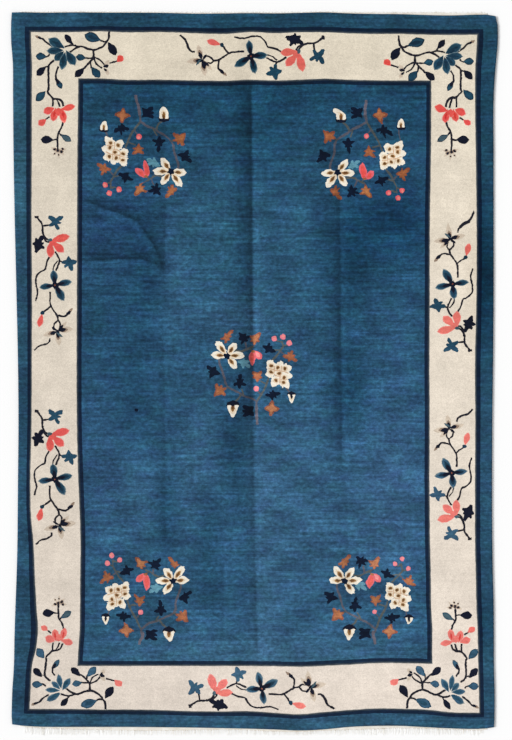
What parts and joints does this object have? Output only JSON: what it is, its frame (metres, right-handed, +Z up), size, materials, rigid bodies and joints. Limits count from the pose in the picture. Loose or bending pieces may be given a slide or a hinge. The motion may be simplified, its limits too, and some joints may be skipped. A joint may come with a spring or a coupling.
{
  "type": "chinese carpet",
  "caption": "Rectangular hand-knotted floor carpet with a flower-spray field, a pale border of branches and a thin warp fringe, lying flat.",
  "frame": {"origin": "middle of the whole underside, on the surface the carpet lies on", "axes": "+Y along the carpet from the fringed foot to the worn head, +X across it, +Z up out of the pile"},
  "size_m": [1.865, 2.779, 0.01],
  "materials": {
    "wool_pile": "cut wool pile, matt with a soft sheen along the nap",
    "cotton_warp": "unbleached cotton yarn, matt"
  },
  "bodies": {
    "root": {"carpet": "wool_pile", "fringe_foot": "cotton_warp", "fringe_head": "cotton_warp"}
  },
  "joints": []
}
